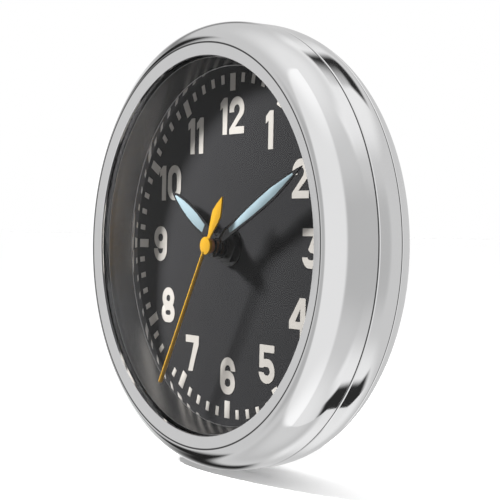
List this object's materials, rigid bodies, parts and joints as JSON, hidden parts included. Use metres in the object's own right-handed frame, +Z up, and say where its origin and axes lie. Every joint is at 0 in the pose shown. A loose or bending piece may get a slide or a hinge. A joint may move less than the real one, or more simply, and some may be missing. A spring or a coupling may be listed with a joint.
{
  "type": "mantel clock",
  "caption": "Round polished metal drum clock with a black dial under flat glass, leaf hour and minute hands, a yellow second hand, a geared quartz movement and a fold-out leg.",
  "frame": {"origin": "the middle of the clock's footprint, on the surface it stands on", "axes": "+Z up, the dial faces -Y, +X towards three o'clock as seen from the front"},
  "size_m": [0.1524, 0.0364, 0.1524],
  "materials": {
    "polished_case": "highly polished nickel plate on brass",
    "mirror_trim": "mirror-polished inner ring",
    "clear_glass": "clear flat glass, polished both sides",
    "dial_face": "fine matte charcoal paint",
    "dial_print": "warm white printed paint, slightly raised",
    "hand_black": "gloss black enamel",
    "hand_inlay": "pale blue luminous paint",
    "second_yellow": "satin orange-yellow enamel",
    "brass_parts": "turned brass",
    "copper_parts": "turned copper alloy",
    "steel_parts": "zinc-plated steel",
    "movement_black": "moulded black plastic with a fine grain",
    "gear_white": "moulded acetal",
    "cover_dark": "fine textured dark grey powder coat",
    "soft_rubber": "moulded black rubber",
    "board_green": "glass-fibre circuit board with a solder mask",
    "battery_wrap": "printed film sleeve",
    "coil_copper": "enamelled copper wire"
  },
  "bodies": {
    "case": {"bezel_ring": "polished_case", "case_band": "polished_case", "rear_ring": "polished_case", "crystal_gasket": "soft_rubber", "crystal": "clear_glass", "mirror_ring": "mirror_trim", "dial": "dial_face", "hour_numerals": "dial_print", "minute_track": "dial_print", "foot_pad": "soft_rubber", "case_screws": "steel_parts", "back_cover": "cover_dark", "cover_screws": "steel_parts", "movement_front": "movement_black", "movement_rear": "movement_black", "movement_screws": "steel_parts", "threaded_nose": "brass_parts", "hex_nut": "steel_parts", "brass_washer": "brass_parts", "rubber_washer": "soft_rubber", "circuit_board": "board_green", "quartz_can": "steel_parts", "chip_cover": "movement_black", "coil_bobbin": "gear_white", "coil_winding": "coil_copper", "stator": "steel_parts", "battery": "battery_wrap", "contact_plus": "steel_parts", "contact_minus": "steel_parts", "stand_bracket": "steel_parts", "bracket_screws": "steel_parts", "stand_pin": "steel_parts"},
    "seconds": {"seconds_wheel": "gear_white", "second_hand": "second_yellow", "second_collet": "copper_parts"},
    "idler": {"idler_wheel": "gear_white"},
    "rotor": {"rotor": "steel_parts"},
    "third": {"third_wheel": "gear_white"},
    "centre": {"centre_wheel": "gear_white"},
    "minute": {"cannon_pinion": "brass_parts", "minute_hand": "hand_black", "minute_inlay": "hand_inlay", "minute_collet": "brass_parts"},
    "motion": {"motion_wheel": "gear_white"},
    "hour": {"hour_wheel": "gear_white", "hour_hand": "hand_black", "hour_inlay": "hand_inlay", "hour_collet": "brass_parts"},
    "knob": {"set_knob": "movement_black"},
    "stand": {"stand_leg": "polished_case", "leg_tip": "soft_rubber"}
  },
  "joints": [
    {"name": "seconds_spin", "type": "hinge", "parent": "case", "child": "seconds", "pos_m": [0, -0.00305, 0.0762], "axis": [0, 1, 0], "continuous": true},
    {"name": "idler_spin", "type": "hinge", "parent": "case", "child": "idler", "pos_m": [0.00827, -0.00305, 0.08314], "axis": [0, 1, 0], "continuous": true},
    {"name": "rotor_spin", "type": "hinge", "parent": "case", "child": "rotor", "pos_m": [0.00225, -0.00305, 0.09174], "axis": [0, 1, 0], "continuous": true},
    {"name": "third_spin", "type": "hinge", "parent": "case", "child": "third", "pos_m": [-0.00656, -0.00305, 0.08401], "axis": [0, 1, 0], "continuous": true},
    {"name": "centre_spin", "type": "hinge", "parent": "case", "child": "centre", "pos_m": [0, -0.00305, 0.0762], "axis": [0, 1, 0], "continuous": true},
    {"name": "minute_spin", "type": "hinge", "parent": "case", "child": "minute", "pos_m": [0, -0.00305, 0.0762], "axis": [0, 1, 0], "continuous": true},
    {"name": "motion_spin", "type": "hinge", "parent": "case", "child": "motion", "pos_m": [-0.00811, -0.00305, 0.07403], "axis": [0, 1, 0], "continuous": true},
    {"name": "hour_spin", "type": "hinge", "parent": "case", "child": "hour", "pos_m": [0, -0.00305, 0.0762], "axis": [0, 1, 0], "continuous": true},
    {"name": "knob_spin", "type": "hinge", "parent": "case", "child": "knob", "pos_m": [-0.01601, -0.00305, 0.07115], "axis": [0, 1, 0], "continuous": true},
    {"name": "stand_hinge", "type": "hinge", "parent": "case", "child": "stand", "pos_m": [0, 0.01625, 0.1284], "axis": [1, 0, 0], "range_deg": [0, 31]}
  ],
  "couplings": [
    {"joint": "idler_spin", "follows": "seconds_spin", "ratio": -5},
    {"joint": "rotor_spin", "follows": "seconds_spin", "ratio": 30},
    {"joint": "third_spin", "follows": "seconds_spin", "ratio": -0.13333},
    {"joint": "centre_spin", "follows": "seconds_spin", "ratio": 0.016667},
    {"joint": "motion_spin", "follows": "minute_spin", "ratio": -0.33333},
    {"joint": "hour_spin", "follows": "minute_spin", "ratio": 0.083333},
    {"joint": "knob_spin", "follows": "minute_spin", "ratio": 1}
  ]
}
